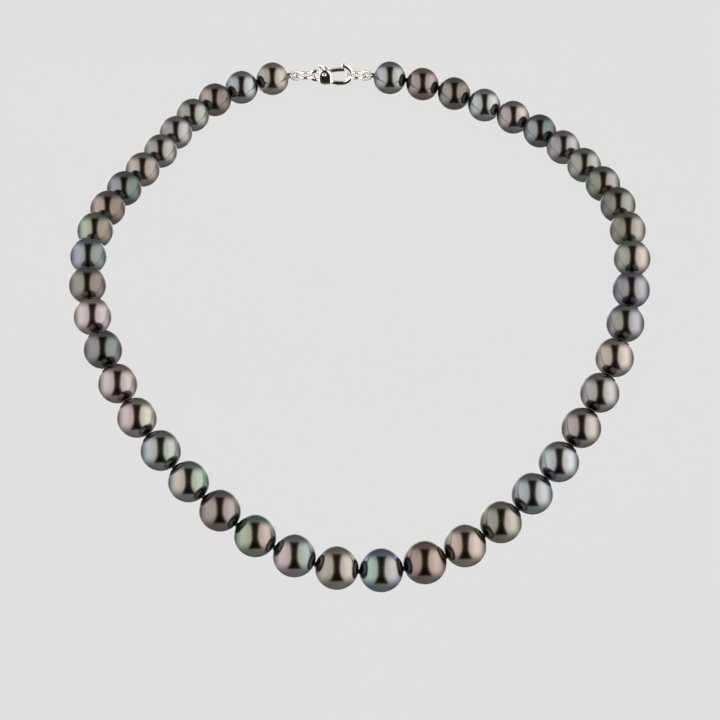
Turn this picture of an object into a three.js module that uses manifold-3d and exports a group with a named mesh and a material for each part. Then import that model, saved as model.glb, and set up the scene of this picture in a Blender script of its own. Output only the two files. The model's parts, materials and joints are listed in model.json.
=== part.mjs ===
// A graduated pearl necklace, held in the shape it takes round a neck and over the collar bones.
// Millimetres, +Z up. The origin is the middle of the clasp at the nape, +X is the viewer's right
// as seen from the front, and the strand comes forward towards -Y and down towards -Z.
import * as THREE from 'three';
import { mergeVertices } from 'three/addons/utils/BufferGeometryUtils.js';
import Module from 'manifold-3d';

const wasm = await Module();
wasm.setup();

// Pearls: the largest is at the front, and each next one is smaller down to the back size.
const pearlsPerSide = 22;
const centreDiameter = 10;
const backDiameter = 7.95;
const taperPerPearl = 0.115;
const boreDiameter = 1;
const mouthDiameter = 1.6; // the countersink at each end of a pearl's bore
const mouthDepth = 0.25;

// Silk: a doubled thread in the bores with a knot at both ends of every pearl.
const knotGap = 0.25;
const threadDiameter = 0.5;
const knotDiameter = 1.2;
const knotThickness = 0.36;

// French wire (bullion): the coiled tube that guards the single thread where it loops a ring.
const loopThreadDiameter = 0.36;
const bullionDiameter = 0.9;
const bullionWall = 0.12;
const loopLength = 2.8;
const bullionStart = 0.5; // how far from the end knot the tube begins
const legGap = 0.04; // between the two legs of a loop where they leave the knot
const legShare = 0.9; // how much of the way from the tube's end to the knot each leg runs

// Clasp: two rings, and a lobster claw between them.
const clawReach = 8.9; // between the walls that the two rings pull on
const ringDiameter = 5;
const ringWire = 0.7;
const fitGap = 0.12;
const eyeHole = 1.5;
const eyeRim = 0.7;
const eyeThickness = 0.9;
const hookWidth = 1;
const hookThickness = 0.9;
const bodyThickness = 2.5;
const leverThickness = 1;
const leverGap = 0.1; // on each side of the lever, inside the body's slot
const gateWidth = 0.84;
const bossDiameter = 1.7;
const pinDiameter = 0.6;
const pinGap = 0.05;
const springDiameter = 0.9;
const springWire = 0.16;
const springTurns = 3;
const springEndGap = 0.1;
const tabWidth = 0.74;

// How the claw is laid out in its own plane: x runs from its eye to its nose, z is up.
const pivotFromEye = 1.35; // from the eye's wall to the pin
const pivotHeight = 0.75;
const slotFloor = -0.75;
const springTuck = 0.1; // how far the coil reaches in under the lever's boss
const shankReach = 1.7; // from the pin to the end of the shank
const shankDepth = 1.2; // metal below the slot
const shankTailHeight = 1.8;
const shankEase = 0.3; // how far the shank's corners are rounded
const shankLift = 0.1;
const cheekMargin = 0.15; // metal above the boss of the lever
const hookRoot = 0.9; // from the pin to where the hook starts inside the shank
const tipGap = 0.15; // between the shut gate and the underside of the hook's tip
const gateOverlap = 0.65; // how far the gate reaches past the hook's tip, towards the nose

// The hook's middle line, from its nose back to the shank and up to its tip.
const hookLine = [
  [-3.75, -1.85], [-1.95, -1.9], [-0.5, -1.15], [0, 0.1], [-0.35, 1.3], [-1.2, 2.2], [-2.25, 2.55],
];
// The gate's middle line, in shares of the way along and up from the pin to its end.
const gateBow = [[0, 0], [0.4, 0.62], [0.73, 0.92], [1, 1]];
// The thumb tab's middle line, from the pin.
const tabLine = [[0, 0.2], [-0.45, 1.1], [-1.3, 1.75]];

// The way the strand hangs, from the left end of the clasp round the front to the right end.
// The whole route is scaled until its length is the length of the pearls and their knots.
const drape = [
  [-21.5, -3.8, -1.6], [-33, -14.8, -5.2], [-40, -29.2, -9.8], [-48.7, -43.7, -14.8],
  [-54.7, -58.6, -19.8], [-55.7, -74.2, -27.8], [-51.5, -88.2, -38.6], [-43.5, -99.3, -51],
  [-31.4, -108, -63.3], [-16.3, -113.6, -74.3], [2.2, -115.2, -81.4], [22, -112.5, -81],
  [39.3, -106, -73.5], [52.6, -97.4, -61.9], [62, -87.2, -48.9], [68.2, -75, -36.3],
  [70.2, -60.7, -25.4], [67.5, -45.2, -17.6], [60, -30.6, -12.8], [49.8, -17.8, -8.2],
  [37, -8.8, -4.8], [22.4, -2.6, -1.3],
].map(([x, y, z]) => new THREE.Vector3(x, y, z));

// How finely the round shapes are cut.
const pearlSides = 10;
const pearlRings = 6;
const threadSides = 6;
const knotRings = 3;
const ringSides = 8;
const ringSteps = 20;
const pinSides = 12;
const curveSteps = 3;
const springSides = 6;
const springStepsPerTurn = 10;
const bullionSteps = 12;
const loopThreadSteps = 16;
const hookSteps = 18;
const gateSteps = 6;
const tabSteps = 5;
const routeDivisions = 4000;
const bluntShare = 0.25; // of a bar's smaller side, cut off each of its edges
const cutOvershoot = 1; // how far a cut runs on past the metal
const weldDistance = 1e-5;

const nacre = (color) => new THREE.MeshStandardMaterial({ color, roughness: 0.18, metalness: 0.45 });
const pearlColours = ['#5a5560', '#4b5652', '#6b5c5c', '#4f5a66', '#67645a', '#5c5668', '#77706f'];
const silk = new THREE.MeshStandardMaterial({ color: '#1d1b1c', roughness: 0.8, metalness: 0 });
const whiteGold = new THREE.MeshStandardMaterial({ color: '#d6d4cf', roughness: 0.2, metalness: 1 });
const springSteel = new THREE.MeshStandardMaterial({ color: '#8f9092', roughness: 0.35, metalness: 1 });

const necklace = new THREE.Group();

function addPiece(name, geometry, material) {
  const mesh = new THREE.Mesh(geometry, material);
  mesh.name = name;
  necklace.add(mesh);
  return mesh;
}

// A closed mesh as a solid that can be joined and cut, and the other way round.
function toSolid(geometry) {
  const bare = geometry.clone();
  bare.deleteAttribute('normal');
  bare.deleteAttribute('uv');
  const merged = mergeVertices(bare, weldDistance);
  return new wasm.Manifold(new wasm.Mesh({
    numProp: 3,
    vertProperties: new Float32Array(merged.attributes.position.array),
    triVerts: new Uint32Array(merged.index.array),
  }));
}

function toGeometry(solid) {
  const mesh = solid.getMesh();
  const geometry = new THREE.BufferGeometry();
  geometry.setAttribute('position', new THREE.BufferAttribute(mesh.vertProperties, 3));
  geometry.setIndex(new THREE.BufferAttribute(mesh.triVerts, 1));
  geometry.computeVertexNormals();
  return geometry;
}

const join = (geometries) => geometries.map(toSolid).reduce((whole, solid) => whole.add(solid));

// ---------------------------------------------------------------- clasp layout

const tailWall = -clawReach / 2;
const noseWall = clawReach / 2;
const eyeCentre = new THREE.Vector2(tailWall + eyeHole / 2, 0);
const shankLeft = tailWall + eyeHole;
const pivot = new THREE.Vector2(shankLeft + pivotFromEye, pivotHeight);
const hookMiddle = noseWall + hookWidth / 2;
const springFromPivot = (bossDiameter + springDiameter) / 2 - springTuck;
const [tipX, tipZ] = hookLine[hookLine.length - 1];
const gateRun = hookMiddle + tipX + gateOverlap - pivot.x;
const gateRise = tipZ - hookWidth / 2 - tipGap - gateWidth / 2 - pivot.y;
const ringRadius = (ringDiameter - ringWire) / 2;
const tailRingCentre = tailWall + fitGap + ringWire / 2 - ringRadius;
const endRingCentre = -tailRingCentre;
// The far end of a loop's centreline bears on the ring from inside it.
const loopBend = ringWire / 2 + fitGap + bullionDiameter / 2;
const loopFarEnd = tailRingCentre - ringRadius + loopBend;
const claspHalf = loopLength - loopFarEnd;
const leftEnd = new THREE.Vector3(-claspHalf, 0, 0);
const rightEnd = new THREE.Vector3(claspHalf, 0, 0);

// ---------------------------------------------------------------- strand layout

const pearlDiameter = (step) => Math.max(backDiameter, centreDiameter - taperPerPearl * Math.abs(step));

const steps = [];
for (let step = -pearlsPerSide; step <= pearlsPerSide; step += 1) {
  steps.push(step);
}
const pitches = steps.map((step) => pearlDiameter(step) + knotGap);
const strandLength = pitches.reduce((sum, pitch) => sum + pitch, 0);

function routeAt(scale) {
  const between = drape.map((point) => point.clone().multiplyScalar(scale));
  const route = new THREE.CatmullRomCurve3([leftEnd, ...between, rightEnd], false, 'centripetal');
  route.arcLengthDivisions = routeDivisions;
  return route;
}

function fittedRoute() {
  const passes = 12;
  let scale = 1;
  for (let pass = 0; pass < passes; pass += 1) {
    scale *= strandLength / routeAt(scale).getLength();
  }
  return routeAt(scale);
}

const route = fittedRoute();
const knots = [leftEnd];
let travelled = 0;
for (const pitch of pitches) {
  travelled += pitch;
  knots.push(route.getPointAt(Math.min(1, travelled / strandLength)));
}

const alongFrom = (from, to) => to.clone().sub(from).normalize();

// ---------------------------------------------------------------- pearls

// A ball with a bore along Y and a countersunk mouth at each end.
function pearlGeometry(diameter) {
  const radius = diameter / 2;
  const mouthAngle = Math.asin(mouthDiameter / diameter);
  const boreHeight = radius * Math.cos(mouthAngle) - mouthDepth;
  const profile = [new THREE.Vector2(boreDiameter / 2, -boreHeight)];
  for (let ring = 0; ring <= pearlRings; ring += 1) {
    const polar = mouthAngle + ((Math.PI - 2 * mouthAngle) * ring) / pearlRings;
    profile.push(new THREE.Vector2(radius * Math.sin(polar), -radius * Math.cos(polar)));
  }
  profile.push(new THREE.Vector2(boreDiameter / 2, boreHeight));
  profile.push(profile[0].clone());
  return new THREE.LatheGeometry(profile, pearlSides);
}

// Pearls are numbered from the clasp: 01 lies next to it, and the last one next to the centre.
function pearlName(step) {
  const number = String(pearlsPerSide + 1 - Math.abs(step)).padStart(2, '0');
  if (step === 0) {
    return 'pearl_centre';
  }
  return step < 0 ? `pearl_left_${number}` : `pearl_right_${number}`;
}

const boreAxis = new THREE.Vector3(0, 1, 0);
steps.forEach((step, index) => {
  const colour = pearlColours[index % pearlColours.length];
  const pearl = addPiece(pearlName(step), pearlGeometry(pearlDiameter(step)), nacre(colour));
  pearl.position.copy(knots[index]).lerp(knots[index + 1], 0.5);
  pearl.quaternion.setFromUnitVectors(boreAxis, alongFrom(knots[index], knots[index + 1]));
});

// ---------------------------------------------------------------- silk and French wire

function threadBetween(from, to) {
  const length = from.distanceTo(to);
  const piece = new THREE.CylinderGeometry(threadDiameter / 2, threadDiameter / 2, length, threadSides);
  const turn = new THREE.Quaternion().setFromUnitVectors(boreAxis, alongFrom(from, to));
  const middle = from.clone().lerp(to, 0.5);
  return piece.applyQuaternion(turn).translate(middle.x, middle.y, middle.z);
}

function knotAt(point, direction) {
  const piece = new THREE.SphereGeometry(knotDiameter / 2, threadSides, knotRings);
  piece.scale(1, knotThickness / knotDiameter, 1);
  piece.applyQuaternion(new THREE.Quaternion().setFromUnitVectors(boreAxis, direction));
  return piece.translate(point.x, point.y, point.z);
}

// The direction of the thread at a knot, halfway between the pearls on its two sides.
function knotDirection(index) {
  const before = knots[Math.max(0, index - 1)];
  const after = knots[Math.min(knots.length - 1, index + 1)];
  return alongFrom(before, after);
}

// The centreline of a loop that leaves an end knot, rounds a ring's wire and comes back.
// side is -1 at the left end of the clasp and 1 at the right end.
function loopPoints(side, legStart, legSpread) {
  const bendCentre = loopLength - loopBend;
  const points = [];
  const bendStops = [90, 45, 0, -45, -90];
  points.push([legStart, legSpread]);
  for (const stop of bendStops) {
    const angle = THREE.MathUtils.degToRad(stop);
    points.push([bendCentre + loopBend * Math.cos(angle), loopBend * Math.sin(angle)]);
  }
  points.push([legStart, -legSpread]);
  return points.map(([x, z]) => new THREE.Vector3(side * (claspHalf - x), 0, z));
}

function roundTube(points, outer, inner, sides, stepCount) {
  const section = new THREE.Shape();
  section.absarc(0, 0, outer / 2, 0, 2 * Math.PI);
  if (inner > 0) {
    section.holes.push(new THREE.Path().absarc(0, 0, inner / 2, 0, 2 * Math.PI, true));
  }
  const extrudePath = new THREE.CatmullRomCurve3(points);
  // An arc that goes all the way round is cut into two sides for each curve segment.
  const curveSegments = sides / 2;
  return new THREE.ExtrudeGeometry(section, { extrudePath, steps: stepCount, curveSegments });
}

const bullionSpread = (bullionDiameter + legGap) / 2;
for (const [name, side] of [['bullion_left', -1], ['bullion_right', 1]]) {
  const centreline = loopPoints(side, bullionStart, bullionSpread);
  const inner = bullionDiameter - 2 * bullionWall;
  addPiece(name, roundTube(centreline, bullionDiameter, inner, threadSides, bullionSteps), whiteGold);
}

// Inside the tube the thread keeps to its middle, and both legs run on into the end knot.
function threadLoop(side) {
  const legs = loopPoints(side, bullionStart, bullionSpread);
  const knot = new THREE.Vector3(side * claspHalf, 0, 0);
  const into = [legs[0], legs[legs.length - 1]].map((leg) => leg.clone().lerp(knot, legShare));
  const points = [into[0], ...legs, into[1]];
  return roundTube(points, loopThreadDiameter, 0, threadSides, loopThreadSteps);
}

const threadPieces = [threadLoop(-1), threadLoop(1)];
knots.forEach((knot, index) => {
  threadPieces.push(knotAt(knot, knotDirection(index)));
  if (index > 0) {
    threadPieces.push(threadBetween(knots[index - 1], knot));
  }
});
addPiece('silk_thread', toGeometry(join(threadPieces)), silk);

// ---------------------------------------------------------------- rings

function ringAt(name, x) {
  const geometry = new THREE.TorusGeometry(ringRadius, ringWire / 2, ringSides, ringSteps);
  addPiece(name, geometry, whiteGold).position.x = x;
}

ringAt('jump_ring', tailRingCentre);
ringAt('end_ring', endRingCentre);

// ---------------------------------------------------------------- lobster claw

// A flat outline in the claw's plane, given a thickness that lies evenly on both sides of it.
function plate(outline, thickness) {
  const geometry = new THREE.ExtrudeGeometry(outline, {
    depth: thickness,
    bevelEnabled: false,
    curveSegments: curveSteps,
  });
  return geometry.translate(0, 0, -thickness / 2).rotateX(Math.PI / 2);
}

// A bar with blunted edges along a curve in the claw's plane.
function bar(points, width, thickness, stepCount) {
  const blunt = Math.min(width, thickness) * bluntShare;
  const halfWidth = width / 2;
  const halfThickness = thickness / 2;
  const section = new THREE.Shape([
    new THREE.Vector2(-halfThickness, -halfWidth + blunt),
    new THREE.Vector2(-halfThickness + blunt, -halfWidth),
    new THREE.Vector2(halfThickness - blunt, -halfWidth),
    new THREE.Vector2(halfThickness, -halfWidth + blunt),
    new THREE.Vector2(halfThickness, halfWidth - blunt),
    new THREE.Vector2(halfThickness - blunt, halfWidth),
    new THREE.Vector2(-halfThickness + blunt, halfWidth),
    new THREE.Vector2(-halfThickness, halfWidth - blunt),
  ]);
  const extrudePath = new THREE.CatmullRomCurve3(points.map(([x, z]) => new THREE.Vector3(x, 0, z)));
  return new THREE.ExtrudeGeometry(section, { extrudePath, steps: stepCount });
}

// A round bar across the claw, at a point of its plane.
function crossBar(diameter, length, at) {
  const piece = new THREE.CylinderGeometry(diameter / 2, diameter / 2, length, pinSides);
  return piece.translate(at.x, 0, at.y);
}

const slotWidth = leverThickness + 2 * leverGap;
const pinHole = pinDiameter + 2 * pinGap;

// The fixed half: tail eye, slotted shank, and the hook that curls round to its tip.
function clawBody() {
  const right = pivot.x + shankReach;
  const bottom = slotFloor - shankDepth;
  const top = pivot.y + bossDiameter / 2 + cheekMargin;
  const shank = new THREE.Shape();
  shank.moveTo(shankLeft, -shankTailHeight / 2);
  shank.quadraticCurveTo(shankLeft + shankEase, bottom, pivot.x, bottom);
  shank.lineTo(right, bottom + shankLift);
  shank.lineTo(right, pivot.y - shankLift);
  shank.quadraticCurveTo(right - shankEase, top, pivot.x, top);
  shank.quadraticCurveTo(shankLeft + shankEase, top, shankLeft, shankTailHeight / 2);
  shank.closePath();

  const hookStart = [pivot.x + hookRoot, slotFloor - hookWidth / 2];
  const hookRest = hookLine.map(([x, z]) => [hookMiddle + x, z]);
  const hook = bar([hookStart, ...hookRest], hookWidth, hookThickness, hookSteps);

  const eye = crossBar(eyeHole + 2 * eyeRim, eyeThickness, eyeCentre);
  const slotLeft = pivot.x - bossDiameter / 2 - fitGap;
  const slotLength = right + cutOvershoot - slotLeft;
  const slotHeight = top + cutOvershoot - slotFloor;
  const slot = new THREE.BoxGeometry(slotLength, slotWidth, slotHeight);
  slot.translate(slotLeft + slotLength / 2, 0, slotFloor + slotHeight / 2);

  return join([plate(shank, bodyThickness), hook, eye])
    .subtract(toSolid(crossBar(eyeHole, bodyThickness + cutOvershoot, eyeCentre)))
    .subtract(toSolid(slot))
    .subtract(toSolid(crossBar(pinHole, bodyThickness + cutOvershoot, pivot)));
}

// The moving half: boss on the pin, gate bar out under the hook's tip, and a tab for the thumb.
function gateLever() {
  const gateLine = gateBow.map(([along, up]) => [pivot.x + gateRun * along, pivot.y + gateRise * up]);
  const gate = bar(gateLine, gateWidth, leverThickness, gateSteps);
  const tab = bar(tabLine.map(([x, z]) => [pivot.x + x, pivot.y + z]), tabWidth, leverThickness, tabSteps);
  return join([crossBar(bossDiameter, leverThickness, pivot), gate, tab])
    .subtract(toSolid(crossBar(pinHole, leverThickness + cutOvershoot, pivot)));
}

// The coil that pushes the gate up against the hook's tip.
function springGeometry() {
  const [bowAlong, bowUp] = gateBow[1];
  const rise = (gateRise * bowUp * springFromPivot) / (gateRun * bowAlong);
  const gateUnderside = pivot.y + rise - gateWidth / 2;
  const bottom = slotFloor + springEndGap + springWire / 2;
  const top = gateUnderside - springEndGap - springWire / 2;
  const radius = (springDiameter - springWire) / 2;
  const stepCount = springTurns * springStepsPerTurn;
  const points = [];
  for (let step = 0; step <= stepCount; step += 1) {
    const angle = (2 * Math.PI * step) / springStepsPerTurn;
    const height = bottom + ((top - bottom) * step) / stepCount;
    points.push(new THREE.Vector3(
      pivot.x + springFromPivot + radius * Math.cos(angle),
      radius * Math.sin(angle),
      height,
    ));
  }
  return roundTube(points, springWire, 0, springSides, stepCount);
}

addPiece('lobster_claw_body', toGeometry(clawBody()), whiteGold);
addPiece('lobster_gate', toGeometry(gateLever()), whiteGold);
addPiece('gate_pin', crossBar(pinDiameter, bodyThickness, pivot), whiteGold);
addPiece('gate_spring', springGeometry(), springSteel);

export default necklace;
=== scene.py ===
import json
import math
import random

import bpy
import numpy as np
from mathutils import Matrix, Vector


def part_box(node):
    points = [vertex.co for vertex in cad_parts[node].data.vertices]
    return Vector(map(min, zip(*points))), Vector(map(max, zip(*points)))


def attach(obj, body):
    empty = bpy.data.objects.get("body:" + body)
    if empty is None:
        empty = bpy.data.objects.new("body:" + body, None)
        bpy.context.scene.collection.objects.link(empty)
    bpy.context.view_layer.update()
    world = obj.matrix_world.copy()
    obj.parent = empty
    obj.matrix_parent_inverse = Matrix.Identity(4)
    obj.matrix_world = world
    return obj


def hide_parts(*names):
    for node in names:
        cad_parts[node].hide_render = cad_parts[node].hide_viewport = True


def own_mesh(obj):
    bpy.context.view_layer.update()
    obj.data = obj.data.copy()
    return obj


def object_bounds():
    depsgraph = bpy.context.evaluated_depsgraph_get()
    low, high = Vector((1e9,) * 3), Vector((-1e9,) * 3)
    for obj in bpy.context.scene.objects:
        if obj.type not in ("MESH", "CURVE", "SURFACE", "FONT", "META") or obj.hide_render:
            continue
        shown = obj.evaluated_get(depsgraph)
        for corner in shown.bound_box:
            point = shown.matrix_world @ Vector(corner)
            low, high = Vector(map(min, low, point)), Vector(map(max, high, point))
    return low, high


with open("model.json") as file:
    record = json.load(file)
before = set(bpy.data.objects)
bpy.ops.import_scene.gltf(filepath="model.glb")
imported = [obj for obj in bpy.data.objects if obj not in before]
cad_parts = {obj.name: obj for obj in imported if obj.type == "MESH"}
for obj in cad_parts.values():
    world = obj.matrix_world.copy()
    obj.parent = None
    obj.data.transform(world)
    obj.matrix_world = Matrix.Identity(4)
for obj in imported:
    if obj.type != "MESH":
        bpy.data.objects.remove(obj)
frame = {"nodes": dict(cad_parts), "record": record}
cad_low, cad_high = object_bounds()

# ---------------------------------------------------------------- sizes, in metres

MM = 0.001

# Camera: in front of the strand and a little above it, far off with a long lens.
CAMERA_RISE = math.radians(20)
CAMERA_DISTANCE = 1242.9 * MM
CAMERA_LENS = 265.8
AIM_ASIDE = -0.13 * MM
AIM_UP = -10.0 * MM

# Pearls, drilled through, with a countersink at each end of the bore.
BORE_RADIUS = 0.5 * MM
MOUTH_DEPTH = 0.25 * MM
PEARL_SEGMENTS = 64
PEARL_RINGS = 40
MOST_OFF_ROUND = 0.012
PIT_EVERY = 4

# A corner of a CAD pearl that lies deeper than this under its surface is on the bore's rim.
RIM_DEPTH = 0.1 * MM

# Silk thread and the knots between the pearls.
KNOT_GAP = 0.25 * MM
KNOT_RADIUS = 0.6 * MM
KNOT_HALF_THICKNESS = 0.18 * MM
KNOT_CORE = 0.82
KNOT_PRESSED = 0.9
KNOT_TURN_RADIUS = 0.125 * MM
KNOT_TURN_SUNK = 0.13 * MM
KNOT_TURN_RISE = 0.05 * MM
KNOT_TURN_TILT = 9
THREAD_RADIUS = 0.25 * MM
THREAD_FLATNESS = 0.62
THREAD_STEPS = 12
LOOP_THREAD_RADIUS = 0.18 * MM

# French wire round the thread where it loops a ring.
BULLION_RADIUS = 0.45 * MM
BULLION_WIRE = 0.13 * MM
BULLION_SPREAD = 0.47 * MM
BULLION_START = 0.5 * MM
LOOP_LENGTH = 2.8 * MM
LOOP_BEND = 0.92 * MM
LOOP_STEPS = 8
LOOP_THREAD_MORE = 0.7 * MM
LOOP_THREAD_SLICES = 24

# Rings and claw.
RING_WIRE = 0.35 * MM
RING_END_ROUND = 0.05 * MM
PIN_RADIUS = 0.3 * MM
SPRING_RADIUS = 0.37 * MM
SPRING_WIRE = 0.08 * MM
SPRING_TURNS = 5
CHEEK_ASIDE = 0.2 * MM
CHEEK_BELOW = 0.75 * MM
CHEEK_REACH = 1.9 * MM
CHEEK_SWELL = 1.32
CHEEK_START = 0.3 * MM
POLISH = 0.5
PIN_PROUD = 0.16 * MM
PIN_DOME = 0.1 * MM
PIN_RIM = 0.06 * MM
PIN_STEP = 0.07 * MM
PIN_RISE = 1.016
PIN_CROWN = 1.008

# Corners nearer to each other than this are one corner.
WELD = 1e-7

FLOOR_DROP = 120 * MM
FLOOR_SIZE = 40

body_of_node = {
    node: body for body, nodes in frame["record"]["behaviour"]["bodies"].items() for node in nodes
}

# ---------------------------------------------------------------- camera

aim = (cad_low + cad_high) / 2 + Vector((AIM_ASIDE, 0, AIM_UP))
toward_camera = Vector((0, -math.cos(CAMERA_RISE), math.sin(CAMERA_RISE)))
camera_data = bpy.data.cameras.new("camera")
camera_data.lens = CAMERA_LENS
camera_data.clip_start = 0.1
camera_data.clip_end = 100
camera = bpy.data.objects.new("camera", camera_data)
bpy.context.scene.collection.objects.link(camera)
camera.location = aim + toward_camera * CAMERA_DISTANCE
camera.rotation_euler = (-toward_camera).to_track_quat("-Z", "Y").to_euler()
bpy.context.scene.camera = camera

# ---------------------------------------------------------------- shader helpers


class Socket:
    """A shader socket that can be added, multiplied and so on like a number."""

    def __init__(self, tree, out):
        self.tree = tree
        self.out = out

    def _math(self, operation, a, b=0.0):
        settings = {"operation": operation}
        return Socket(self.tree, self.tree.node("ShaderNodeMath", settings, {0: a, 1: b}).outputs[0])

    def __add__(self, other):
        return self._math("ADD", self, other)

    def __radd__(self, other):
        return self._math("ADD", other, self)

    def __sub__(self, other):
        return self._math("SUBTRACT", self, other)

    def __rsub__(self, other):
        return self._math("SUBTRACT", other, self)

    def __mul__(self, other):
        return self._math("MULTIPLY", self, other)

    def __rmul__(self, other):
        return self._math("MULTIPLY", other, self)

    def __truediv__(self, other):
        return self._math("DIVIDE", self, other)

    def __pow__(self, other):
        return self._math("POWER", self, other)

    def size(self):
        return self._math("ABSOLUTE", self)

    def step(self, start, end):
        """0 up to start and 1 from end on, with a smooth rise between them."""
        settings = {"interpolation_type": "SMOOTHSTEP"}
        sockets = {"Value": self, "From Min": start, "From Max": end}
        return Socket(self.tree, self.tree.node("ShaderNodeMapRange", settings, sockets).outputs[0])


class Tree:
    """A node tree that is emptied and then filled one node at a time."""

    def __init__(self, owner):
        owner.use_nodes = True
        self.tree = owner.node_tree
        self.tree.nodes.clear()

    def node(self, kind, settings=None, sockets=None):
        """A new node with its settings, each socket given a value or linked to another socket."""
        made = self.tree.nodes.new(kind)
        for name, value in (settings or {}).items():
            setattr(made, name, value)
        for key, value in (sockets or {}).items():
            if isinstance(value, Socket):
                self.tree.links.new(value.out, made.inputs[key])
            else:
                made.inputs[key].default_value = value
        return made

    def get(self, kind, settings=None, sockets=None, out=0):
        return Socket(self, self.node(kind, settings, sockets).outputs[out])

    def parts(self, vector):
        made = self.node("ShaderNodeSeparateXYZ", None, {0: vector})
        return [Socket(self, made.outputs[i]) for i in range(3)]

    def along(self, vector, direction):
        """How far a vector reaches in a direction."""
        settings = {"operation": "DOT_PRODUCT"}
        return self.get("ShaderNodeVectorMath", settings, {0: vector, 1: direction}, "Value")

    def blend(self, factor, a, b):
        settings = {"data_type": "RGBA", "clamp_factor": True}
        return self.get("ShaderNodeMix", settings, {0: factor, 6: a, 7: b}, 2)

    def tinted(self, colour, by):
        """A colour multiplied by a value."""
        settings = {"operation": "SCALE"}
        return self.get("ShaderNodeVectorMath", settings, {0: colour, "Scale": by})

    def noise(self, where, scale, detail=2.0, rough=0.5):
        sockets = {"Vector": where, "Scale": scale, "Detail": detail, "Roughness": rough}
        return self.get("ShaderNodeTexNoise", None, sockets)

    def surface(self, sockets, bump=None, strength=0.1, reach=0.001):
        """A Principled surface, with an optional height that bumps it."""
        sockets = dict(sockets)
        if bump is not None:
            heights = {"Strength": strength, "Distance": reach, "Height": bump}
            sockets["Normal"] = self.get("ShaderNodeBump", None, heights)
        shader = self.node("ShaderNodeBsdfPrincipled", None, sockets)
        end = self.node("ShaderNodeOutputMaterial")
        self.tree.links.new(shader.outputs[0], end.inputs[0])


def material(name):
    made = bpy.data.materials.new(name)
    return made, Tree(made)


def linear(code, level=1.0):
    """A screen colour code as the linear colour that a shader takes, multiplied by a level."""
    shares = [int(code[i:i + 2], 16) / 255 for i in (0, 2, 4)]
    straight = [s / 12.92 if s < 0.04045 else ((s + 0.055) / 1.055) ** 2.4 for s in shares]
    return (*[level * s for s in straight], 1)


# ---------------------------------------------------------------- studio

# Two tall light panels stand left and right of the camera, with the dark of the room between them.
# Their outlines are given where a polished ball shows them: 0 is its middle and 1 its rim.
# Where two such numbers stand together, a change starts at the first and is full at the second.
PANEL_LIGHT = 2.95
PANEL_DIMMED = 0.82
PANEL_BRIGHTENS = (0.26, 0.50)
PANEL_SIDE = (0.97, 0.60)
PANEL_TOP = (0.78, 0.38)
PANEL_BOTTOM = (-0.76, -0.22)

# The dark gap between the panels flares up and down, and most of all at its foot.
ROOM_DARK = 0.02
GAP_HALF = 0.15
GAP_FLARE = 0.20
GAP_FOOT = 0.32
GAP_FOOT_STARTS = (0, -0.3)
GAP_SOFT = 0.06
GAP_TOP = 0.66
GAP_BOTTOM = -0.60
GAP_TONE = (1.0, 0.80, 0.68, 1)
PANEL_TONE = (1.0, 0.99, 0.98, 1)

# The pale room: brighter below, darker behind the strand. What is behind is given by the cosine of
# the angle off the camera's direction.
ROOM_LIGHT = 0.56
ROOM_ABOVE = 0.92
ROOM_BELOW_GAIN = 0.2
ROOM_BELOW = (0.2, -0.8)
ROOM_BEHIND_LOSS = 0.4
ROOM_BEHIND = (-0.35, -0.9)
BACKDROP_LIGHT = 0.73

# Two narrow lamps stand behind the strand, a little below its level. Their beams are given by the
# cosine of the angle off the lamp's direction.
BACK_LAMP_ASIDE = math.radians(21)
BACK_LAMP_RISE = -0.1
BACK_LAMP_LIGHT = 1.5
BACK_LAMP_BEAM = (0.92, 0.985)

# Keeps the mirror's spread above 0 straight behind the strand.
SPREAD_LEAST = 0.0005

FLOOR_TONES = ((0.54, 0.545, 0.555, 1), (0.555, 0.56, 0.565, 1))
FLOOR_PATCHES = 3.0


def light_studio():
    """The world's light: panels, gap, room and back lamps, and an even backdrop where the camera looks."""
    world = bpy.data.worlds.new("studio")
    bpy.context.scene.world = world
    tree = Tree(world)
    ray = tree.get("ShaderNodeTexCoord")
    up = Vector((0, math.sin(CAMERA_RISE), math.cos(CAMERA_RISE)))
    ahead = tree.along(ray, tuple(toward_camera))

    # A mirror ball shows a direction where its surface looks halfway between it and the camera.
    spread = (2 * (1 + SPREAD_LEAST + ahead)) ** 0.5
    aside = (tree.along(ray, (1, 0, 0)) / spread).size()
    height = tree.along(ray, tuple(up)) / spread

    gap = GAP_HALF + (GAP_FLARE + GAP_FOOT * height.step(*GAP_FOOT_STARTS)) * height * height
    dark = (aside - gap).step(GAP_SOFT, -GAP_SOFT)
    dark = dark * height.step(GAP_TOP + GAP_SOFT, GAP_TOP - GAP_SOFT)
    dark = dark * height.step(GAP_BOTTOM - GAP_SOFT, GAP_BOTTOM + GAP_SOFT)

    below = ROOM_ABOVE + ROOM_BELOW_GAIN * height.step(*ROOM_BELOW)
    room = ROOM_LIGHT * below * (1 - ROOM_BEHIND_LOSS * ahead.step(*ROOM_BEHIND))
    glow = PANEL_DIMMED + (1 - PANEL_DIMMED) * aside.step(*PANEL_BRIGHTENS)
    panel = aside.step(*PANEL_SIDE) * (height.step(*PANEL_TOP) * height.step(*PANEL_BOTTOM))
    light = room + (PANEL_LIGHT * glow - room) * panel
    light = light + (ROOM_DARK - light) * dark
    for side in (-1, 1):
        lamp = Vector((side * math.tan(BACK_LAMP_ASIDE), 1, BACK_LAMP_RISE)).normalized()
        light = light + BACK_LAMP_LIGHT * tree.along(ray, tuple(lamp)).step(*BACK_LAMP_BEAM)

    seen = tree.get("ShaderNodeLightPath")
    level = light + (BACKDROP_LIGHT - light) * seen
    tone = tree.blend(dark, PANEL_TONE, GAP_TONE)
    back = tree.node("ShaderNodeBackground", None, {"Color": tone, "Strength": level})
    end = tree.node("ShaderNodeOutputWorld")
    tree.tree.links.new(back.outputs[0], end.inputs[0])


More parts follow.
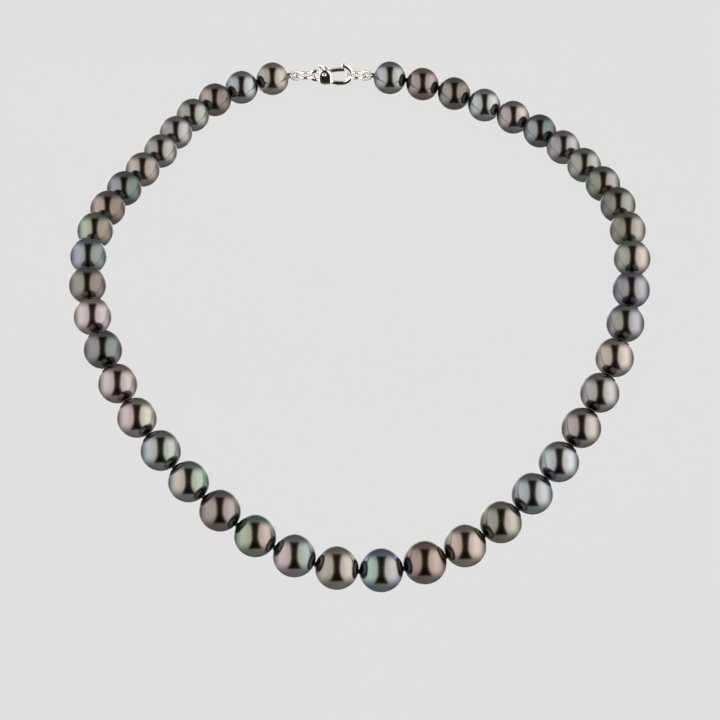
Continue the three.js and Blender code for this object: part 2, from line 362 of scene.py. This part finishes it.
def lay_floor():
    """A wide sheet of pale paper far below the strand, which the pearls don't mirror."""
    bpy.ops.mesh.primitive_plane_add(size=FLOOR_SIZE, location=(0, 0, cad_low.z - FLOOR_DROP))
    floor = bpy.context.object
    floor.name = "floor"
    made, tree = material("floor_paper")
    where = tree.get("ShaderNodeTexCoord", out="Object")
    patch = tree.noise(where, FLOOR_PATCHES)
    tree.surface({
        "Base Color": tree.blend(patch, *FLOOR_TONES),
        "Roughness": 0.9,
        "Specular IOR Level": 0.1,
    })
    floor.data.materials.append(made)
    floor.visible_glossy = False


light_studio()
lay_floor()
bpy.context.scene.view_settings.view_transform = "Standard"

# ---------------------------------------------------------------- reading the frame

PEARL_NAMES = (
    [f"pearl_left_{n:02d}" for n in range(1, 23)]
    + ["pearl_centre"]
    + [f"pearl_right_{n:02d}" for n in range(22, 0, -1)]
)


def read_pearl(node):
    """The centre, radius and bore direction of a CAD pearl."""
    corners = np.array([v.co for v in frame["nodes"][node].data.vertices], float)
    corners = np.unique(corners.round(7), axis=0)
    centre = corners.mean(axis=0)
    reach = np.linalg.norm(corners - centre, axis=1)
    radius = reach.max()
    rims = corners[reach < radius - RIM_DEPTH] - centre
    axis = np.linalg.svd(rims)[2][0]
    return Vector(centre), radius, Vector(axis).normalized()


pearls = [read_pearl(name) for name in PEARL_NAMES]
for i, (centre, radius, axis) in enumerate(pearls):
    along = pearls[min(i + 1, len(pearls) - 1)][0] - pearls[max(i - 1, 0)][0]
    if axis.dot(along) < 0:
        axis.negate()
front = len(pearls) // 2

# ---------------------------------------------------------------- modelling helpers


def start_clean():
    if bpy.context.object and bpy.context.object.mode != "OBJECT":
        bpy.ops.object.mode_set(mode="OBJECT")
    bpy.ops.object.select_all(action="DESELECT")


def pick(obj):
    start_clean()
    obj.select_set(True)
    bpy.context.view_layer.objects.active = obj
    return obj


def edit_faces(obj, test):
    """Goes into edit mode with only those faces selected whose centre and normal pass a test."""
    pick(obj)
    mesh = obj.data
    mesh.vertices.foreach_set("select", [False] * len(mesh.vertices))
    mesh.edges.foreach_set("select", [False] * len(mesh.edges))
    chosen = [bool(test(face.center, face.normal)) for face in mesh.polygons]
    mesh.polygons.foreach_set("select", chosen)
    bpy.context.tool_settings.mesh_select_mode = (False, False, True)
    bpy.ops.object.mode_set(mode="EDIT")


def apply_all(obj):
    pick(obj)
    for modifier in list(obj.modifiers):
        bpy.ops.object.modifier_apply(modifier=modifier.name)


def settle(obj):
    """Puts an object's place, turn and size into its mesh."""
    pick(obj)
    bpy.ops.object.transform_apply(location=True, rotation=True, scale=True)


def point_outwards(obj):
    pick(obj)
    bpy.ops.object.mode_set(mode="EDIT")
    bpy.ops.mesh.select_all(action="SELECT")
    bpy.ops.mesh.remove_doubles(threshold=WELD)
    bpy.ops.mesh.normals_make_consistent(inside=False)
    bpy.ops.object.mode_set(mode="OBJECT")


def edge_close(obj):
    """Fills the open ends of a swept tube."""
    pick(obj)
    bpy.ops.object.mode_set(mode="EDIT")
    bpy.ops.mesh.select_all(action="SELECT")
    bpy.ops.mesh.remove_doubles(threshold=WELD)
    bpy.ops.mesh.select_mode(type="EDGE")
    bpy.ops.mesh.select_all(action="DESELECT")
    bpy.ops.mesh.select_non_manifold()
    bpy.ops.mesh.fill_holes(sides=0)
    bpy.ops.object.mode_set(mode="OBJECT")


def slice_across(obj, length, cuts, middle):
    """Cuts a bar that lies along X into even slices, so that it can bend."""
    pick(obj)
    bpy.ops.object.mode_set(mode="EDIT")
    for i in range(1, cuts):
        bpy.ops.mesh.select_all(action="SELECT")
        x = middle - length / 2 + length * i / cuts
        bpy.ops.mesh.bisect(plane_co=(x, 0, 0), plane_no=(1, 0, 0))
    bpy.ops.object.mode_set(mode="OBJECT")


def smooth(obj, degrees=40):
    pick(obj)
    bpy.ops.object.shade_smooth_by_angle(angle=math.radians(degrees))


def join(objects, name):
    start_clean()
    for obj in objects:
        obj.select_set(True)
    bpy.context.view_layer.objects.active = objects[0]
    bpy.ops.object.join()
    objects[0].name = name
    return objects[0]


def copy_to(master, name, matrix, finish):
    made = bpy.data.objects.new(name, master.data.copy())
    made.data.name = name
    made.data.transform(matrix)
    made.data.materials.clear()
    made.data.materials.append(finish)
    bpy.context.scene.collection.objects.link(made)
    return made


def place_along(centre, axis):
    """A matrix that turns local Z to an axis and moves to a centre."""
    return Matrix.Translation(centre) @ axis.to_track_quat("Z", "Y").to_matrix().to_4x4()


# ---------------------------------------------------------------- nacre

# Overtones of the dark nacre: left flank, right flank, and towards the edge, as worn. The two flank colours
# also hold painted light and shade: one flank, mostly the right, is painted brighter than the other, as the
# light fell on it.
OVERTONES_WITH_PAINTED_LIGHT = {
    "lavender_silver": ("908b8e", "c1bec0", "5d5b5e"),
    "green_silver": ("8f938c", "b7b8b2", "565b54"),
    "warm_taupe": ("aba6a2", "b0a69e", "5c5550"),
    "dark_peacock": ("8b8f96", "76857a", "424848"),
    "aubergine": ("a2958f", "8f807b", "544c49"),
    "green_gold_pink": ("a3ab98", "a08d80", "46574d"),
    "steel_teal": ("949ca5", "8b9894", "53545b"),
    "olive_grey": ("8a8984", "91877e", "4f4b47"),
    "rose_lavender": ("c3b6bb", "c8bbbd", "6e635f"),
    "slate_green": ("868487", "899290", "48434a"),
    "pink_taupe": ("bbb1b0", "c7bdbb", "615854"),
    "pink_green": ("bcadb1", "cfcbbc", "655f5b"),
    "steel_lavender": ("a9adb0", "bac2b6", "55555b"),
    "pistachio": ("b8ada7", "afbeac", "56625a"),
    "mauve_brown": ("958b88", "b0a5a1", "544a48"),
    "green_rose": ("9fa796", "c2aea6", "4e6258"),
    "pink_teal": ("b9a9a8", "a5b4ae", "626066"),
    "champagne": ("a39c94", "c9c1b8", "69635c"),
    "teal_violet": ("98b0a6", "bcbabb", "525568"),
    "bronze_rose": ("968580", "c2aba1", "5c534c"),
    "rose_olive": ("b2a098", "d4c1b7", "666758"),
    "grey_champagne": ("8b8a83", "c4bcb0", "5f5c55"),
    "steel_blue": ("9aa4a6", "c1c8ca", "595c60"),
    "blue_silver": ("a7b0b0", "cfd4d7", "5a5b60"),
    "rose_taupe": ("a29896", "cfc5be", "56504c"),
    "cool_silver": ("9b9a9a", "c9c7c6", "555753"),
    "copper_rose": ("ada197", "d7cbc3", "625a53"),
    "lavender_olive": ("8d8c82", "b5b8bd", "4c4a51"),
    "lavender_blue": ("7f8088", "b0b3ba", "4a4a50"),
    "green_pink": ("95978b", "d1c6bd", "4e5149"),
    "olive_champagne": ("7d7970", "b8b3a8", "57534b"),
    "dark_olive": ("717267", "a9aaa4", "43453d"),
    "moss_rose": ("7e8074", "b4aeaa", "434a44"),
}

WORN_ORDER = [
    "champagne", "steel_blue", "aubergine", "green_silver",
    "lavender_silver", "green_silver", "warm_taupe", "dark_peacock", "aubergine", "green_gold_pink",
    "steel_teal", "olive_grey", "rose_lavender", "slate_green", "pink_taupe", "pink_green",
    "steel_lavender", "pistachio", "mauve_brown", "green_rose", "pink_teal", "champagne",
    "teal_violet",
    "bronze_rose", "rose_olive", "grey_champagne", "steel_blue", "blue_silver", "rose_taupe",
    "cool_silver", "copper_rose", "lavender_olive", "lavender_blue", "green_pink", "olive_champagne",
    "dark_olive", "moss_rose", "green_silver", "lavender_silver", "dark_peacock",
    "rose_taupe", "blue_silver", "olive_grey", "mauve_brown", "steel_lavender",
]

# The overtones are what the eye gets, so they are divided by the light on the flanks and on the edge.
FLANK_LEVEL = 1 / 2.6
EDGE_LEVEL = 1 / 0.72
FLANK_TO_FLANK = (-0.45, 0.5)
EDGE_STARTS = (0.84, 0.30)

# Where the surface looks straight at the camera, the flanks turn a little warmer.
WARM_LIGHT = "b9ae96"
WARMTH = 0.3
WARMTH_STARTS = (0.82, 0.98)

# Clouds shift the borders between the tones.
CLOUD_ASIDE = 0.5
CLOUD_ASIDE_MIDDLE = 0.27
CLOUD_OUTWARD = 0.16
CLOUD_OUTWARD_MIDDLE = 0.08

# How far apart the pearls stand in the pattern, and the pattern's scales, for a pearl of radius 1.
PATTERN_APART = (3.7, 1.9)
CLOUD_SCALE = 1.4
LINE_SCALE = 9.0
GRAIN_SCALE = 42.0
PIT_SCALE = 2.6
PIT_RIM = (0.075, 0.02)
PIT_PAINTED_SHADE = 0.5
PIT_DEPTH = 6


def nacre(name, centre, radius, overtone_with_painted_light, seed, pitted):
    """Dark nacre round one pearl: its overtones with painted light and shade on its flanks, faint
    cloudiness, fine growth lines and a few pits.
    """
    left, right, edge = overtone_with_painted_light
    made, tree = material(name)
    ball = tree.get("ShaderNodeMapping", {"vector_type": "TEXTURE"}, {
        "Vector": tree.get("ShaderNodeTexCoord", out="Object"),
        "Location": tuple(centre),
        "Scale": (radius,) * 3,
    })
    own_place = (seed * PATTERN_APART[0], seed * PATTERN_APART[1], 0)
    shifted = tree.get("ShaderNodeVectorMath", {"operation": "ADD"}, {0: ball, 1: own_place})
    cloud = tree.noise(shifted, CLOUD_SCALE)
    fine = tree.noise(shifted, LINE_SCALE, detail=3.0, rough=0.6)

    across = tree.parts(ball)[0] + CLOUD_ASIDE * cloud - CLOUD_ASIDE_MIDDLE
    outward = tree.along(ball, tuple(toward_camera)).size()
    outward = outward + CLOUD_OUTWARD * cloud - CLOUD_OUTWARD_MIDDLE
    # Blending the two flank colours paints light and shade across the pearl: the brighter flank is painted
    # light, the darker one painted shade.
    from_left = across.step(*FLANK_TO_FLANK)
    flanks = tree.blend(from_left, linear(left, FLANK_LEVEL), linear(right, FLANK_LEVEL))
    warm = WARMTH * outward.step(*WARMTH_STARTS)
    flanks = tree.blend(warm, flanks, linear(WARM_LIGHT, FLANK_LEVEL))
    colour = tree.blend(outward.step(*EDGE_STARTS), flanks, linear(edge, EDGE_LEVEL))
    colour = tree.tinted(colour, 0.93 + 0.12 * fine)

    grain = tree.noise(shifted, GRAIN_SCALE, rough=0.6)
    height = 0.5 * grain + 0.25 * fine
    if pitted:
        cells = {"Vector": shifted, "Scale": PIT_SCALE, "Randomness": 1.0}
        pits = tree.get("ShaderNodeTexVoronoi", None, cells).step(*PIT_RIM)
        # The pits are painted darker: painted shade in their hollows.
        colour = tree.tinted(colour, 1 - PIT_PAINTED_SHADE * pits)
        height = height - PIT_DEPTH * pits
    tree.surface({
        "Base Color": colour,
        "Metallic": 1.0,
        "Roughness": 0.165 + 0.05 * fine,
        "Specular Tint": (0.75, 0.75, 0.75, 1),
        "Coat Weight": 0.12,
        "Coat Roughness": 0.08,
    }, bump=height, strength=0.06, reach=0.02 * MM)
    return made


def model_pearl():
    """A drilled pearl as large as the front one: a ball with its poles opened, sunk and joined by a bore."""
    radius = pearls[front][1]
    start_clean()
    bpy.ops.mesh.primitive_uv_sphere_add(segments=PEARL_SEGMENTS, ring_count=PEARL_RINGS, radius=radius)
    pearl = bpy.context.object
    rim = radius * math.sin(math.pi / PEARL_RINGS)
    rim_height = radius * math.cos(math.pi / PEARL_RINGS)
    edit_faces(pearl, lambda centre, normal: abs(centre.z) > rim_height)
    bpy.ops.mesh.delete(type="FACE")
    bpy.ops.mesh.select_mode(type="EDGE")
    bpy.ops.mesh.select_all(action="DESELECT")
    bpy.ops.mesh.select_non_manifold()
    inwards = BORE_RADIUS / rim
    down = (rim_height - MOUTH_DEPTH) / rim_height
    bpy.ops.transform.resize(value=(inwards, inwards, down), center_override=(0, 0, 0))
    bpy.ops.mesh.bridge_edge_loops()
    bpy.ops.object.mode_set(mode="OBJECT")
    point_outwards(pearl)
    smooth(pearl)
    return pearl


def string_pearls():
    """A copy of the drilled pearl for each place, at its own size and a little out of round."""
    rng = random.Random(45)
    master = model_pearl()
    master_radius = pearls[front][1]
    for i, (name, (centre, radius, axis)) in enumerate(zip(PEARL_NAMES, pearls)):
        full = radius / master_radius
        wide = [full * (1 - MOST_OFF_ROUND * rng.random()) for _ in range(2)]
        turn = Matrix.Rotation(rng.uniform(0, math.tau), 4, "Z")
        shape = turn @ Matrix.Diagonal((*wide, full, 1))
        overtone_with_painted_light = OVERTONES_WITH_PAINTED_LIGHT[WORN_ORDER[i]]
        pitted = i % PIT_EVERY == PIT_EVERY - 1
        finish = nacre(name.replace("pearl", "nacre"), centre, radius, overtone_with_painted_light, i + 1, pitted)
        label = name.replace("pearl", "drilled_pearl")
        pearl = copy_to(master, label, place_along(centre, axis) @ shape, finish)
        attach(pearl, body_of_node[name])
        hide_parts(name)
    bpy.data.objects.remove(master)


string_pearls()

# ---------------------------------------------------------------- silk


SILK_PLIES = 2600.0
SILK_FUZZ = 9000.0


def silk_finish():
    """Dark twisted silk: fine slanting plies, a little fuzz, and a soft sheen."""
    made, tree = material("dark_silk")
    where = tree.get("ShaderNodeTexCoord", out="Object")
    plies = tree.get("ShaderNodeTexWave", {"bands_direction": "DIAGONAL"}, {
        "Vector": where,
        "Scale": SILK_PLIES,
        "Distortion": 1.5,
        "Detail": 1.0,
    })
    fuzz = tree.noise(where, SILK_FUZZ)
    shade = 0.6 * plies + 0.4 * fuzz
    tree.surface({
        "Base Color": tree.blend(shade, linear("141112"), linear("383234")),
        "Roughness": 0.62 + 0.2 * fuzz,
        "Sheen Weight": 0.35,
        "Sheen Roughness": 0.4,
    }, bump=shade, strength=0.5, reach=0.05 * MM)
    return made


def model_knot():
    """A tight silk knot, flattened between two pearls: a core with two crossing turns of thread."""
    start_clean()
    bpy.ops.mesh.primitive_uv_sphere_add(segments=16, ring_count=8, radius=1)
    core = bpy.context.object
    core.scale = (KNOT_RADIUS * KNOT_CORE, KNOT_RADIUS * KNOT_CORE, KNOT_HALF_THICKNESS)
    settle(core)
    turns = []
    for side in (1, -1):
        start_clean()
        bpy.ops.mesh.primitive_torus_add(
            major_segments=20, minor_segments=6,
            major_radius=KNOT_RADIUS - KNOT_TURN_SUNK, minor_radius=KNOT_TURN_RADIUS,
        )
        turn = bpy.context.object
        tilt = math.radians(side * KNOT_TURN_TILT)
        turn.rotation_euler = (tilt, tilt / 2, 0)
        turn.location = (0, 0, side * KNOT_TURN_RISE)
        settle(turn)
        turns.append(turn)
    knot = join([core, *turns], "knot")
    knot.scale = (1, 1, KNOT_PRESSED)
    settle(knot)
    point_outwards(knot)
    smooth(knot)
    return knot


def model_strand():
    """One millimetre of doubled thread: a flattened section, drawn out and given half a turn."""
    start_clean()
    bpy.ops.mesh.primitive_circle_add(vertices=12, radius=THREAD_RADIUS, fill_type="NGON")
    strand = bpy.context.object
    strand.scale = (1, THREAD_FLATNESS, 1)
    settle(strand)
    bpy.ops.object.mode_set(mode="EDIT")
    bpy.ops.mesh.select_all(action="SELECT")
    for _ in range(THREAD_STEPS):
        bpy.ops.mesh.extrude_region_move(TRANSFORM_OT_translate={"value": (0, 0, MM / THREAD_STEPS)})
        bpy.ops.transform.rotate(value=math.pi / THREAD_STEPS, orient_axis="Z", center_override=(0, 0, 0))
    bpy.ops.object.mode_set(mode="OBJECT")
    point_outwards(strand)
    smooth(strand, 60)
    return strand


def thread_pearls():
    """A length of thread through every pearl, and a knot at both its ends."""
    finish = silk_finish()
    knot_master = model_knot()
    strand_master = model_strand()
    for i, (centre, radius, axis) in enumerate(pearls):
        reach = radius + KNOT_GAP / 2
        body = body_of_node[PEARL_NAMES[i]]
        if i == front:
            body = body_of_node[PEARL_NAMES[i - 1]]
        draw = Matrix.Translation((0, 0, -reach)) @ Matrix.Diagonal((1, 1, 2 * reach / MM, 1))
        label = PEARL_NAMES[i].replace("pearl_", "")
        strand = copy_to(strand_master, "thread_" + label, place_along(centre, axis) @ draw, finish)
        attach(strand, body)
        ends = []
        if i <= front:
            ends.append((-1, "knot_" + label))
        if i >= front:
            ends.append((1, "knot_" + label if i > front else "knot_centre_right"))
        for side, name in ends:
            knot = copy_to(knot_master, name, place_along(centre + axis * side * reach, axis), finish)
            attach(knot, body)
            if i == 0:
                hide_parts("silk_thread")
    bpy.data.objects.remove(knot_master)
    bpy.data.objects.remove(strand_master)
    return finish


silk = thread_pearls()

# ---------------------------------------------------------------- metal


METAL_CLOUDS = 700.0
SCRATCH_TURN = (0.3, 0.5, 0.8)
SCRATCH_SCALE = (900.0, 9000.0, 9000.0)


def metal_finish(name, colour, rough, scratch):
    """Polished plated metal: faint clouding, hair-fine scratches and slightly duller worn spots."""
    made, tree = material(name)
    where = tree.get("ShaderNodeTexCoord", out="Object")
    cloud = tree.noise(where, METAL_CLOUDS, detail=3.0)
    stretched = tree.get("ShaderNodeMapping", None, {
        "Vector": where,
        "Rotation": SCRATCH_TURN,
        "Scale": SCRATCH_SCALE,
    })
    lines = tree.noise(stretched, 1.0, rough=0.7)
    tree.surface({
        "Base Color": tree.blend(cloud.step(0.35, 0.7), linear(colour), linear(colour, 0.9)),
        "Metallic": 1.0,
        "Roughness": rough + 0.1 * cloud + scratch * lines.step(0.5, 0.75),
    }, bump=lines, strength=0.08, reach=0.01 * MM)
    return made


white_gold = metal_finish("rhodium_white_gold", "dddad4", rough=0.10, scratch=0.10)
fine_wire = metal_finish("french_wire_gold", "d8d4cb", rough=0.16, scratch=0.08)
spring_steel = metal_finish("spring_steel", "a8a7a6", rough=0.26, scratch=0.12)


def finish_piece(obj, material_made, body, slot, *nodes):
    """Gives a piece its only material, its body and the CAD node that it replaces. Its slot is not used."""
    obj.data.materials.clear()
    obj.data.materials.append(material_made)
    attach(obj, body)
    if nodes:
        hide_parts(*nodes)


def loop_curve(side, name):
    """The line that a loop of thread takes: out from the end knot, round the ring's wire and back."""
    knot = pearls[0 if side < 0 else -1]
    end = knot[0] + knot[2] * side * (knot[1] + KNOT_GAP / 2)
    bend = LOOP_LENGTH - LOOP_BEND
    points = [(BULLION_START, BULLION_SPREAD)]
    for i in range(LOOP_STEPS + 1):
        angle = math.radians(90 - 180 * i / LOOP_STEPS)
        points.append((bend + LOOP_BEND * math.cos(angle), LOOP_BEND * math.sin(angle)))
    points.append((BULLION_START, -BULLION_SPREAD))
    start_clean()
    bpy.ops.curve.primitive_nurbs_path_add()
    curve = bpy.context.object
    curve.name = name
    curve.data.splines.clear()
    line = curve.data.splines.new("BEZIER")
    line.bezier_points.add(len(points) - 1)
    for handle, (out, up) in zip(line.bezier_points, points):
        handle.co = (end.x - side * out, end.y, end.z + up)
        handle.handle_left_type = "AUTO"
        handle.handle_right_type = "AUTO"
    line.resolution_u = 12
    return curve


def bend_along(obj, curve):
    """Bends a piece that lies along X to a curve."""
    modifier = obj.modifiers.new("bend", "CURVE")
    modifier.object = curve
    modifier.deform_axis = "POS_X"
    apply_all(obj)


def wind_bullion(side, name):
    """French wire: a fine wire wound turn against turn, then bent round with the thread inside it."""
    curve = loop_curve(side, name + "_line")
    length = curve.data.splines[0].calc_length()
    turns = round(length / BULLION_WIRE)
    start_clean()
    bpy.ops.mesh.primitive_circle_add(
        vertices=6, radius=BULLION_WIRE / 2, rotation=(math.radians(90), 0, 0),
        location=(BULLION_RADIUS - BULLION_WIRE / 2, 0, 0),
    )
    coil = bpy.context.object
    settle(coil)
    screw = coil.modifiers.new("wind", "SCREW")
    screw.axis = "Z"
    screw.angle = math.tau * turns
    screw.screw_offset = length
    screw.steps = screw.render_steps = 14 * turns
    screw.use_smooth_shade = True
    apply_all(coil)
    edge_close(coil)
    coil.rotation_euler = (0, math.radians(90), 0)
    settle(coil)
    bend_along(coil, curve)
    point_outwards(coil)
    coil.name = name.replace("bullion", "wound_bullion")
    finish_piece(coil, fine_wire, "clasp", "bullion", name)

    start_clean()
    inside = length + LOOP_THREAD_MORE
    bpy.ops.mesh.primitive_cylinder_add(vertices=8, radius=LOOP_THREAD_RADIUS, depth=inside)
    core = bpy.context.object
    core.rotation_euler = (0, math.radians(90), 0)
    core.location = (length / 2, 0, 0)
    settle(core)
    slice_across(core, inside, LOOP_THREAD_SLICES, length / 2)
    bend_along(core, curve)
    point_outwards(core)
    smooth(core, 60)
    core.name = name.replace("bullion", "thread_loop")
    finish_piece(core, silk, "clasp", "silk")
    bpy.data.objects.remove(curve)


wind_bullion(-1, "bullion_left")
wind_bullion(1, "bullion_right")


def ring_size(node):
    """The centre of a CAD ring, and the radius of its wire's line."""
    low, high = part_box(node)
    return (low + high) / 2, (high.x - low.x) / 2 - RING_WIRE


def bend_ring(node, name, seam):
    """A ring of round wire, bent from a straight piece: its two ends meet at a fine seam."""
    centre, radius = ring_size(node)
    start_clean()
    bpy.ops.mesh.primitive_circle_add(
        vertices=20, radius=RING_WIRE, rotation=(math.radians(90), 0, 0),
        location=(radius, 0, 0), fill_type="NGON",
    )
    ring = bpy.context.object
    settle(ring)
    bpy.ops.object.mode_set(mode="EDIT")
    bpy.ops.mesh.select_all(action="SELECT")
    bpy.ops.mesh.spin(steps=72, angle=math.tau - seam, center=(0, 0, 0), axis=(0, 0, 1))
    bpy.ops.object.mode_set(mode="OBJECT")
    edge_close(ring)
    bevel = ring.modifiers.new("ends", "BEVEL")
    bevel.width = RING_END_ROUND
    bevel.segments = 3
    bevel.limit_method = "ANGLE"
    bevel.angle_limit = math.radians(60)
    apply_all(ring)
    ring.rotation_euler = (0, 0, math.radians(90))
    ring.location = centre
    settle(ring)
    point_outwards(ring)
    smooth(ring, 50)
    ring.name = name
    finish_piece(ring, white_gold, "clasp", "white_gold", node)


bend_ring("jump_ring", "bent_jump_ring", seam=0.035)
bend_ring("end_ring", "soldered_end_ring", seam=0.012)


def cast_copy(node, name, body, grain, passes, fullness):
    """A CAD solid as it comes from the mould, the polishing wheel and the plating: its edges rounded."""
    start_clean()
    source = frame["nodes"][node]
    cast = bpy.data.objects.new(name, source.data.copy())
    bpy.context.scene.collection.objects.link(cast)
    point_outwards(cast)
    remesh = cast.modifiers.new("cast", "REMESH")
    remesh.mode = "VOXEL"
    remesh.voxel_size = grain
    relax = cast.modifiers.new("polish", "SMOOTH")
    relax.factor = POLISH
    relax.iterations = passes
    swell = cast.modifiers.new("plate", "DISPLACE")
    swell.strength = fullness
    swell.mid_level = 0
    apply_all(cast)
    pick(cast)
    bpy.ops.object.shade_smooth()
    finish_piece(cast, white_gold, body, "white_gold", node)
    return cast


def crown_cheeks(claw):
    """Swells the two flat cheeks of the shank into low cushions, highest in their middle."""
    pin_low, pin_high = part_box("gate_pin")
    pin = (pin_low + pin_high) / 2
    middle = Vector((pin.x + CHEEK_ASIDE, pin.y, pin.z - CHEEK_BELOW))
    edit_faces(claw, lambda centre, normal: (
        abs(normal.y) > 0.8 and math.hypot(centre.x - middle.x, centre.z - middle.z) < CHEEK_START
    ))
    bpy.ops.transform.resize(
        value=(1, CHEEK_SWELL, 1), center_override=tuple(middle),
        use_proportional_edit=True, proportional_edit_falloff="SPHERE", proportional_size=CHEEK_REACH,
    )
    bpy.ops.object.mode_set(mode="OBJECT")


crown_cheeks(cast_copy(
    "lobster_claw_body", "cast_claw_body", "clasp",
    grain=0.05 * MM, passes=110, fullness=0.05 * MM,
))
cast_copy("lobster_gate", "cast_gate", "gate", grain=0.04 * MM, passes=60, fullness=0.03 * MM)


def rivet_pin():
    """The hinge pin: a cylinder with its two ends peened over into low domes."""
    low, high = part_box("gate_pin")
    centre = (low + high) / 2
    length = high.y - low.y + 2 * PIN_PROUD
    start_clean()
    bpy.ops.mesh.primitive_cylinder_add(vertices=32, radius=PIN_RADIUS, depth=length - PIN_DOME)
    pin = bpy.context.object
    edit_faces(pin, lambda middle, normal: abs(normal.z) > 0.5)
    bpy.ops.mesh.inset(thickness=PIN_RIM)
    for _ in range(2):
        bpy.ops.transform.resize(value=(1, 1, PIN_RISE))
        bpy.ops.mesh.inset(thickness=PIN_STEP)
    bpy.ops.transform.resize(value=(1, 1, PIN_CROWN))
    bpy.ops.object.mode_set(mode="OBJECT")
    pin.rotation_euler = (math.radians(90), 0, 0)
    pin.location = centre
    settle(pin)
    point_outwards(pin)
    smooth(pin, 60)
    pin.name = "riveted_pin"
    finish_piece(pin, white_gold, "clasp", "white_gold", "gate_pin")


def wind_spring():
    """The gate's coil spring, in round steel wire."""
    low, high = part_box("gate_spring")
    centre = (low + high) / 2
    height = high.z - low.z - 2 * SPRING_WIRE
    start_clean()
    bpy.ops.mesh.primitive_circle_add(
        vertices=10, radius=SPRING_WIRE, rotation=(math.radians(90), 0, 0),
        location=(SPRING_RADIUS, 0, 0),
    )
    spring = bpy.context.object
    settle(spring)
    screw = spring.modifiers.new("wind", "SCREW")
    screw.axis = "Z"
    screw.angle = math.tau * SPRING_TURNS
    screw.screw_offset = height
    screw.steps = screw.render_steps = 24 * SPRING_TURNS
    screw.use_smooth_shade = True
    apply_all(spring)
    edge_close(spring)
    spring.location = (centre.x, centre.y, low.z + SPRING_WIRE)
    settle(spring)
    point_outwards(spring)
    smooth(spring, 60)
    spring.name = "coil_spring"
    finish_piece(spring, spring_steel, "clasp", "spring_steel", "gate_spring")
    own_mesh(spring)


rivet_pin()
wind_spring()
